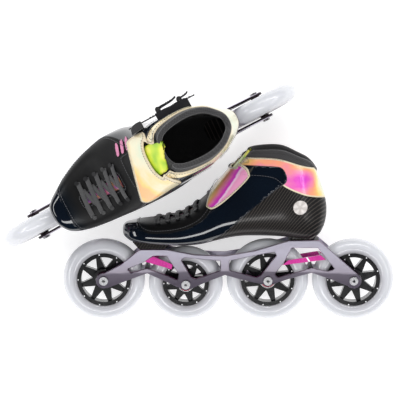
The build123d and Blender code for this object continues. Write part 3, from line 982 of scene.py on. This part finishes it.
def at_width(x, y):
    """The point of the boot's upper surface over x and y, and its normal."""
    near = np.abs(NORMALS[:, 2]) > 0.15
    cost = (POINTS[:, 0] - x) ** 2 + (POINTS[:, 1] - y) ** 2 + np.where((NORMALS[:, 2] > 0) & near, 0, 1e6)
    order = np.argsort(cost)[:4]
    weight = 1 / (cost[order] + 0.01)
    weight /= weight.sum()
    normal = (NORMALS[order] * weight[:, None]).sum(axis=0)
    return (POINTS[order] * weight[:, None]).sum(axis=0), normal / np.linalg.norm(normal)


# Where the laces cross the slot, along X, half the distance between eyelets and half a lace's width
LACE_ROWS = [-94.0, -80.5, -67.5, -54.5, -43.0]
LACE_HALF = 24.5
LACE_RADIUS = 3.1


def lace_lines():
    """The lace's crossing runs over the slot, each with the surface's normals under it."""
    lines = []
    for number, x in enumerate(LACE_ROWS):
        runs = [((x - 1.5, -LACE_HALF), (x + 1.5, LACE_HALF), 1)]
        if number < len(LACE_ROWS) - 1:
            runs.append(((x + 3, 0.52 * LACE_HALF), (x + 12, -0.55 * LACE_HALF), 0))
        for first, second, over in runs:
            line, normals = [], []
            for share in np.linspace(0, 1, 15):
                point, normal = at_width(
                    first[0] + (second[0] - first[0]) * share,
                    SLOT_MIDDLE + first[1] + (second[1] - first[1]) * share,
                )
                hump = math.sin(math.pi * share)
                sink = -1.6 if share in (0.0, 1.0) else 0.0
                line.append(point + normal * (1.5 + sink + hump * (0.9 + 1.3 * over)))
                normals.append(normal)
            lines.append((smooth_line(line, 1, closed=False), np.array(normals)))
    return lines


# The open front of the collar, in plan, where the tongue comes through
NOTCH_PLAN = [(-80, -20), (10, -25), (28, -20), (37, -4), (31, 12), (16, 20), (-80, 20)]


def notch_clear(points):
    """How far points are outside the collar's open front."""
    outside = -depth_inside(points[:, :2], rounded(NOTCH_PLAN, 2))
    return np.where(points[:, 2] > 170, outside, NO_LIMIT)


# The printed stripes in plan, and the side-view zone they lie in
STRIPE_ZONE = [(-60, 110), (20, 110), (20, 240), (-60, 240)]
STRIPES = [
    [(start, 25), (start + 4.2, 25), (start + 9.8, 43), (start + 5.6, 43)]
    for start in (-30.0, -22.8, -15.6)
]


class Tree:
    """A geometry node tree that sets copies of one small shape on points, in a material of its own."""

    def __init__(self, name, sizes, finish):
        self.tree = bpy.data.node_groups.new(name, "GeometryNodeTree")
        face = self.tree.interface
        face.new_socket("Geometry", in_out="INPUT", socket_type="NodeSocketGeometry")
        for size, value in sizes:
            face.new_socket(size, in_out="INPUT", socket_type="NodeSocketFloat").default_value = value
        face.new_socket(finish, in_out="INPUT", socket_type="NodeSocketMaterial")
        face.new_socket("Geometry", in_out="OUTPUT", socket_type="NodeSocketGeometry")
        self.add, self.link = self.tree.nodes.new, self.tree.links.new
        self.given = self.add("NodeGroupInput").outputs
        self.finish = finish

    def lay(self, points, shape, direction):
        """The shape on every point, its own Z along the direction, made real and given its material."""
        lay, turn = self.add("GeometryNodeInstanceOnPoints"), self.add("FunctionNodeAlignRotationToVector")
        real, dress = self.add("GeometryNodeRealizeInstances"), self.add("GeometryNodeSetMaterial")
        turn.axis = "Z"
        self.link(direction, turn.inputs["Vector"])
        self.link(points, lay.inputs["Points"])
        self.link(shape, lay.inputs["Instance"])
        self.link(turn.outputs[0], lay.inputs["Rotation"])
        self.link(lay.outputs[0], real.inputs[0])
        self.link(real.outputs[0], dress.inputs["Geometry"])
        self.link(self.given[self.finish], dress.inputs["Material"])
        self.link(dress.outputs[0], self.add("NodeGroupOutput").inputs[0])
        return self.tree


def stitch_tree():
    """Geometry nodes that lay short threads end to end along a line of edges."""
    sizes = (("Spacing", 0.0034), ("Thread Length", 0.0023), ("Thread Radius", 0.00032))
    t = Tree("stitch_row", sizes, "Thread")
    curve, even = t.add("GeometryNodeMeshToCurve"), t.add("GeometryNodeResampleCurve")
    thread, tangent = t.add("GeometryNodeMeshCylinder"), t.add("GeometryNodeInputTangent")
    even.mode = "LENGTH"
    thread.inputs["Vertices"].default_value = 6
    t.link(t.given["Geometry"], curve.inputs[0])
    t.link(curve.outputs[0], even.inputs["Curve"])
    t.link(t.given["Spacing"], even.inputs["Length"])
    t.link(t.given["Thread Radius"], thread.inputs["Radius"])
    t.link(t.given["Thread Length"], thread.inputs["Depth"])
    return t.lay(even.outputs[0], thread.outputs["Mesh"], tangent.outputs[0])


def stud_tree():
    """Geometry nodes that set a small round stud on every point, along its facing."""
    t = Tree("studs", (("Radius", 0.0011), ("Height", 0.0008)), "Finish")
    stud, facing = t.add("GeometryNodeMeshCylinder"), t.add("GeometryNodeInputNamedAttribute")
    facing.data_type = "FLOAT_VECTOR"
    facing.inputs["Name"].default_value = "facing"
    stud.inputs["Vertices"].default_value = 14
    t.link(t.given["Radius"], stud.inputs["Radius"])
    t.link(t.given["Height"], stud.inputs["Depth"])
    return t.lay(t.given["Geometry"], stud.outputs["Mesh"], facing.outputs[0])


TREES = {"stitches": stitch_tree(), "studs": stud_tree()}


def grow(name, tree, points, edges, facing, **settings):
    """A plain mesh grown by a geometry node tree from points in the object's frame, in metres."""
    mesh = bpy.data.meshes.new(name)
    mesh.from_pydata([tuple(p) for p in points], edges, [])
    attribute = mesh.attributes.new("facing", "FLOAT_VECTOR", "POINT")
    attribute.data.foreach_set("vector", np.asarray(facing, float).ravel())
    made = bpy.data.objects.new(name, mesh)
    bpy.context.collection.objects.link(made)
    modifier = made.modifiers.new(tree, "NODES")
    modifier.node_group = TREES[tree]
    items = TREES[tree].interface.items_tree
    sockets = {item.name: item.identifier for item in items if item.in_out == "INPUT"}
    for key, value in settings.items():
        modifier[sockets[key.replace("_", " ")]] = value
    return apply_modifiers(made)


# How far back stitches may run, along X
BOOT_REAR = 200
CUFF_SEAM_REAR = 70


def stitch_rows(name, zone, lift, inset, place, slot, extra, rear):
    """Rows of stitches just inside the border of a boot panel, as far back as rear."""
    material = MATERIALS["thread"]
    depth = np.minimum(depth_inside(side_view(POINTS), rounded(zone)), TOP_DEPTH)
    depth = np.minimum(depth, extra)
    faces, points, normals = clip(TRIANGLES, depth - inset, POINTS, NORMALS)
    places, edges, facing = [], [], []
    for loop in boundary_loops(faces):
        if len(loop) < 12:
            continue
        line = even_line(smooth_line(points[loop] + normals[loop] * lift, 3), 1.7)
        first = len(places)
        places += [place @ Vector(p * MM) for p in line]
        facing += [(0, 0, 1)] * len(line)
        ahead = [k for k in range(len(line)) if line[k][0] < rear]
        edges += [(first + k, first + (k + 1) % len(line)) for k in ahead]
    made = grow(name, "stitches", places, edges, facing, Thread=material)
    return finish_piece(made, material, "root", slot)


# The axles' places along X, and the rim dots: from the tyre's edge, from the middle plane and how many
WHEEL_X = (-167.5, -57.5, 52.5, 167.5)
DOT_INSET = 20.5
DOT_FACE = 10.2
DOT_COUNT = 9


def rim_dots(skate, number):
    """The pale dots near a hub's rim, on both of its faces."""
    radius = WHEEL_RADII[number - 1]
    reach = radius - DOT_INSET
    centre = Vector((WHEEL_X[number - 1], 0, radius))
    axis = PLACE[skate].to_3x3() @ Vector((0, 1, 0))
    places, facing = [], []
    for side in (-1, 1):
        for k in range(DOT_COUNT):
            angle = 2 * math.pi * (k + 0.5) / DOT_COUNT
            spot = centre + Vector((reach * math.cos(angle), side * DOT_FACE, reach * math.sin(angle)))
            places.append(PLACE[skate] @ (spot * MM))
            facing.append(tuple(axis * side))
    made = grow(f"{skate}_rim_dots_{number}", "studs", places, [], facing, Radius=0.0008, Height=0.0005)
    return finish_piece(made, MATERIALS["dot"], f"{skate}_wheel_{number}", "hub")


# Where the vamp's open front starts, hidden under the strap
UNDER_STRAP = -14


def build_boot(skate):
    """Every soft or shell piece of one boot."""
    place = PLACE[skate]
    root = "root"
    shell = panel(f"{skate}_carbon_shell_skin", BASE_ZONE, 0.0, 1.6, place)
    finish_piece(shell, MATERIALS["carbon"], root, "carbon", f"{skate}_carbon_shell")
    for name, sizes in (("front", FRONT_BLOCK), ("rear", REAR_BLOCK)):
        block = mount_block(f"{skate}_{name}_mount_block", sizes, place)
        finish_piece(block, MATERIALS["carbon"], root, "carbon", f"{skate}_carbon_shell")
    slot_clear = slot_depth(POINTS)
    open_front = notch_clear(POINTS)
    ahead = np.maximum(open_front, UNDER_STRAP - POINTS[:, 0])
    bare = np.minimum(slot_clear, ahead)
    vamp = panel(f"{skate}_vamp_upper", VAMP_ZONE, 0.4, 1.4, place, extra=bare)
    finish_piece(vamp, MATERIALS["vamp"], root, "vamp", f"{skate}_vamp")
    wrap = panel(f"{skate}_patent_side_wrap", WRAP_ZONE, 0.9, 1.5, place, extra=open_front)
    finish_piece(wrap, MATERIALS["patent"], root, "patent", f"{skate}_patent_wrap")
    cuff = panel(f"{skate}_ankle_cuff_film", CUFF_ZONE, 0.5, 1.4, place, extra=open_front)
    finish_piece(cuff, MATERIALS[f"film_cuff_{skate}"], root, "film", f"{skate}_ankle_cuff")
    strap_clear = depth_inside(POINTS[:, :2], rounded(STRAP_PLAN, 2))
    strap = panel(f"{skate}_instep_strap_film", STRAP_ZONE, 2.2, 1.6, place, extra=strap_clear)
    finish_piece(strap, MATERIALS[f"film_strap_{skate}"], root, "film", f"{skate}_instep_strap")
    collar = panel(f"{skate}_collar_band", BAND_ZONE, -0.6, 2.4, place, extra=open_front)
    finish_piece(collar, MATERIALS["lining"], root, "lining", f"{skate}_collar_lining")
    build_inside(skate, place)
    build_trim(skate, place, slot_clear, strap_clear, open_front)


def build_trim(skate, place, slot_clear, strap_clear, open_front):
    """Badge, printed stripes, strap sleeve, eyelets and stitches."""
    turn = np.linspace(0, 2 * math.pi, 24, endpoint=False)
    circle = np.array(BADGE) + BADGE_RADIUS * np.stack([np.cos(turn), np.sin(turn)], axis=1)
    medial = -POINTS[:, 1] - 2
    badge = panel(f"{skate}_heel_badge", circle, 1.5, 0.7, place, extra=medial, turns=1)
    finish_piece(badge, MATERIALS["badge"], "root", "carbon")
    for number, stripe in enumerate(STRIPES, start=1):
        over = depth_inside(POINTS[:, :2], rounded(stripe, 1))
        over = np.where(POINTS[:, 2] > 130, over, -NO_LIMIT)
        mark = panel(f"{skate}_side_stripe_{number}", STRIPE_ZONE, 1.75, 0.25, place, extra=over)
        finish_piece(mark, MATERIALS["stripe"], "root", "vamp")
    sleeve = strap_sleeve(f"{skate}_strap_sleeve", place)
    finish_piece(sleeve, MATERIALS["pocket"], "root", "pocket", "strap_pockets")
    places, facing = [], []
    for x in LACE_ROWS:
        for y in (-LACE_HALF, LACE_HALF):
            point, normal = at_width(x, SLOT_MIDDLE + y)
            places.append(place @ Vector((point + normal * 1.9) * MM))
            facing.append(tuple(place.to_3x3() @ Vector(normal)))
    eyelets = grow(f"{skate}_eyelets", "studs", places, [], facing, Radius=0.0030, Height=0.0014)
    finish_piece(eyelets, MATERIALS["eyelet"], "root", "vamp")
    under_wrap = depth_inside(side_view(POINTS), rounded(WRAP_ZONE))
    bare_vamp = np.minimum(np.minimum(slot_clear, open_front), -under_wrap)
    # Each row: its panel, outline, lift, inset, slot, further limit and how far back it runs
    rows = (
        ("vamp", VAMP_ZONE, 1.85, 3.0, "vamp", bare_vamp, BOOT_REAR),
        ("strap", STRAP_ZONE, 3.85, 1.2, "film", strap_clear, BOOT_REAR),
        ("cuff", CUFF_ZONE, 1.95, 1.0, "film", open_front, CUFF_SEAM_REAR),
    )
    for part, zone, lift, inset, slot, extra, rear in rows:
        stitch_rows(f"{skate}_{part}_stitches", zone, lift, inset, place, slot, extra, rear)


def softened(name, work, radius, place):
    """A solid in millimetres with its edges rounded, as a finished object."""
    bmesh.ops.bevel(work, geom=work.edges, offset=radius, segments=3, profile=0.6, affect="EDGES")
    points = np.array([v.co[:] for v in work.verts])
    faces = [[v.index for v in f.verts] for f in work.faces]
    work.free()
    return make_object(name, points, faces, place, facing=np.tile([0, 1.0, 0], (len(points), 1)))


# The strap sleeve's outline in plan, X and Y, and its two heights
SLEEVE_PLAN = [(0, 40), (2, 47.5), (6, 50.6), (12, 51.6), (18, 51.2), (18, 42)]
SLEEVE_Z = (187.2, 204.8)


def strap_sleeve(name, place):
    """The soft-cornered sleeve that takes the end of the ladder strap."""
    work = bmesh.new()
    rows = [[work.verts.new((x, y, z)) for x, y in SLEEVE_PLAN] for z in SLEEVE_Z]
    count = len(SLEEVE_PLAN)
    for k in range(count):
        m = (k + 1) % count
        work.faces.new((rows[0][k], rows[0][m], rows[1][m], rows[1][k]))
    work.faces.new(rows[0][::-1])
    work.faces.new(rows[1])
    bmesh.ops.recalc_face_normals(work, faces=work.faces)
    return softened(name, work, 1.5, place)


# Each mounting block: X from and to, Z from and to, half its width, and how far its top flares out
# forwards, backwards and sideways
FRONT_BLOCK = (-119.8, -85.0, 97.6, 108.5, 16.0, 9.0, 9.0, 5.0)
REAR_BLOCK = (84.0, 113.5, 109.7, 120.0, 14.0, 3.0, 6.0, 1.5)


def mount_block(name, sizes, place):
    """A mounting block under the sole: a tapered, soft-edged box that widens into the shell."""
    x0, x1, z0, z1, half, ahead, behind, aside = sizes
    work = bmesh.new()
    bmesh.ops.create_cube(work, size=1.0)
    for vertex in work.verts:
        low = vertex.co.z < 0
        flare = 0 if low else 1
        vertex.co.x = x0 - ahead * flare if vertex.co.x < 0 else x1 + behind * flare
        vertex.co.y = math.copysign(half + aside * flare, vertex.co.y)
        vertex.co.z = z0 if low else z1
    return softened(name, work, 1.4, place)


def build_inside(skate, place):
    """Lining, insole, tongue and laces."""
    inner = POINTS - NORMALS * 5.0
    faces, points, normals = clip(TRIANGLES, TOP_DEPTH, inner, NORMALS)
    liner = make_object(f"{skate}_foot_lining", points, faces[:, ::-1], place, facing=-normals)
    weld(liner)
    thicken(liner, 2.0, offset=-1.0)
    finish_piece(liner, MATERIALS["lining"], "root", "lining", f"{skate}_collar_lining")
    loops = boundary_loops(clip(TRIANGLES, TOP_DEPTH, POINTS)[0])
    kept = clip(TRIANGLES, TOP_DEPTH, POINTS - NORMALS * 2.2)[1]
    longest = max(loops, key=len)
    line = even_line(smooth_line(kept[longest], 6), 2.0)
    clear = -depth_inside(line[:, :2], rounded(NOTCH_PLAN, 2)) > -1.5
    start = next(k for k in range(len(line)) if clear[k] and not clear[k - 1])
    line = np.roll(line, -start, axis=0)[: int(clear.sum())]
    ends = np.minimum(np.arange(len(line)), np.arange(len(line))[::-1])
    radius = 3.3 * np.sqrt(np.clip((ends + 0.3) / 3.0, 0, 1))
    roll = tube(f"{skate}_collar_roll", line, radius, place, nearest_normals(line), sides=14, flat=1.15)
    finish_piece(roll, MATERIALS["lining"], "root", "lining", f"{skate}_collar_lining")
    build_tongue(skate, place)
    low_points = POINTS - NORMALS * 7.5
    depth = np.minimum(-NORMALS[:, 2] - 0.3, 150 - POINTS[:, 2])
    faces, points, normals = clip(TRIANGLES, depth, low_points, NORMALS)
    insole = make_object(f"{skate}_insole", points, faces[:, ::-1], place, facing=-normals)
    weld(insole)
    thicken(insole, 2.5)
    finish_piece(insole, MATERIALS["insole"], "root", "insole", "insoles")
    for number, (line, normals) in enumerate(lace_lines(), start=1):
        lace = tube(f"{skate}_lace_run_{number}", line, LACE_RADIUS, place, normals, sides=12, flat=0.34)
        finish_piece(lace, MATERIALS["lace"], "root", "lace", "laces")


def build_tongue(skate, place):
    """The tongue: a curved pad under the slot that rises past the collar's front, hollowed at its end."""
    rows, columns = 44, 15
    points, normals = [], []
    for row in range(rows):
        share = row / (rows - 1)
        past = max(0.0, share - 0.93) / 0.075
        half = TONGUE_HALF * math.sqrt(max(0.02, 1 - past**2))
        for column in range(columns):
            y = SLOT_MIDDLE * (1 - share) + half * (2 * column / (columns - 1) - 1)
            end = min(31.0, 20 + 13 * ((y + 9) / 21) ** 2)
            x = TONGUE_LOW + (end - TONGUE_LOW) * share
            point, normal = at_width(x, y)
            points.append(point)
            normals.append(normal)
    points, normals = np.array(points), np.array(normals)
    points = points - normals * 3.0
    index = np.arange(rows * columns).reshape(rows, columns)
    faces = np.stack([index[:-1, :-1], index[1:, :-1], index[1:, 1:], index[:-1, 1:]], axis=2).reshape(-1, 4)
    made = make_object(f"{skate}_tongue_pad", points, faces, place, facing=normals)
    outward(made)
    thicken(made, 3.0, offset=0.0)
    finish_piece(made, MATERIALS["tongue"], "root", "tongue", "tongues")


# CAD pieces: their shapes stay, and their finishes are set here.


def dress_cad():
    """Gives the CAD pieces that are kept their materials."""

    def dress(node, material):
        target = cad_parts[node]
        for slot in target.material_slots:
            slot.material = material
        if not target.material_slots:
            target.data.materials.append(material)

    for skate in SKATES:
        metal = frame_material(skate)
        for number in range(1, 5):
            dress(f"{skate}_tyre_{number}", tyre_material(skate, number))
            dress(f"{skate}_hub_{number}", MATERIALS["hub"])
            dress(f"{skate}_bearings_{number}", bearing_material(skate, number))
            rim_dots(skate, number)
        for plate in ("medial_plate", "lateral_plate"):
            dress(f"{skate}_{plate}", metal)
        for name in ("buckle_base", "buckle_lever", "release_tab"):
            dress(f"{skate}_{name}", MATERIALS["buckle"])
        dress(f"{skate}_ladder_strap", MATERIALS["ladder"])
    dress("frame_decks", MATERIALS["brace"])
    dress("cross_braces", MATERIALS["brace"])
    dress("accent_bars", accent_material("standing"))
    for name in ("axle_bolts", "frame_bolts", "buckle_pins"):
        dress(name, MATERIALS["steel"])
    dress("bearing_spacers", MATERIALS["spacer"])
    dress("strap_pockets", MATERIALS["pocket"])


# Stage


# The view's right and up directions along the ground
GROUND_RIGHT = Vector((math.cos(math.radians(LYING_YAW)), math.sin(math.radians(LYING_YAW)), 0))
GROUND_UP = Vector((-GROUND_RIGHT.y, GROUND_RIGHT.x, 0))
WORLD_GREY = (0.78, 0.78, 0.79)
FLOOR_GLOW = 0.55
# Softboxes: a name, the place to the right of and above the view's centre and over the ground, the
# long and short sides, and the power
SOFTBOXES = (
    ("near_softbox", (0.0, -1.15, 1.75), (2.2, 0.34), 15.0),
    ("far_softbox", (0.3, 1.6, 1.5), (2.4, 0.30), 15.0),
    ("left_softbox", (-1.7, 0.1, 1.2), (1.8, 0.25), 9.0),
    ("right_softbox", (1.7, 0.0, 1.2), (1.8, 0.25), 6.0),
)
# What the lights and the camera are set for, above the ground
MIDDLE_HEIGHT = 0.1
CAMERA_HEIGHT = 2.6
SENSOR_WIDTH = 36.0
VIEW_WIDTH = 0.528
# Where the view's centre falls on the ground, from the standing skate's origin
CENTRE_RIGHT = 0.0672
CENTRE_UP = -0.0463


def ground_point(right, up):
    """A point on the ground from its place to the right of and above the view's centre."""
    return GROUND_RIGHT * right + GROUND_UP * up


def build_stage():
    """The floor, the world and the lights."""
    bpy.ops.mesh.primitive_plane_add(size=6.0, location=(0, 0, 0))
    floor = bpy.context.object
    floor.name = "floor"
    g = Graph("floor_white", Emission_Strength=FLOOR_GLOW, Emission_Color=(1, 1, 1, 1))
    cloud = g.noise(g.object_place(), 3.0)[0]
    g.set(Base_Color=g.mix(cloud, (0.66, 0.66, 0.66), (0.70, 0.70, 0.70)), Roughness=0.9)
    floor.data.materials.append(g.material)
    world = bpy.data.worlds.new("studio")
    bpy.context.scene.world = world
    world.use_nodes = True
    world.node_tree.nodes["Background"].inputs[0].default_value = (*WORLD_GREY, 1)
    world.cycles_visibility.glossy = False
    for name, (right, up, height), size, power in SOFTBOXES:
        data = bpy.data.lights.new(name, "AREA")
        data.shape = "RECTANGLE"
        data.size, data.size_y = size
        data.energy = power
        light = bpy.data.objects.new(name, data)
        light.location = ground_point(right, up) + Vector((0, 0, height))
        aim = Vector((0, 0, MIDDLE_HEIGHT)) - light.location
        side = GROUND_RIGHT if abs(up) > abs(right) else GROUND_UP
        back = -aim.normalized()
        high = back.cross(side).normalized()
        turn = Matrix((high.cross(back), high, back)).transposed()
        light.matrix_world = Matrix.Translation(light.location) @ turn.to_4x4()
        bpy.context.collection.objects.link(light)


def build_camera():
    """A camera over the pair, looking straight down."""
    data = bpy.data.cameras.new("camera")
    data.sensor_width = SENSOR_WIDTH
    data.lens = SENSOR_WIDTH * (CAMERA_HEIGHT - MIDDLE_HEIGHT) / VIEW_WIDTH
    camera = bpy.data.objects.new("camera", data)
    aim = PLACE["standing"].to_translation() + ground_point(CENTRE_RIGHT, CENTRE_UP)
    turn = Matrix((GROUND_RIGHT, GROUND_UP, Vector((0, 0, 1)))).transposed()
    camera.matrix_world = Matrix.Translation((aim.x, aim.y, CAMERA_HEIGHT)) @ turn.to_4x4()
    bpy.context.collection.objects.link(camera)
    bpy.context.scene.camera = camera


for skate in SKATES:
    build_boot(skate)
dress_cad()
build_stage()
build_camera()
bpy.context.scene.view_settings.view_transform = "Standard"
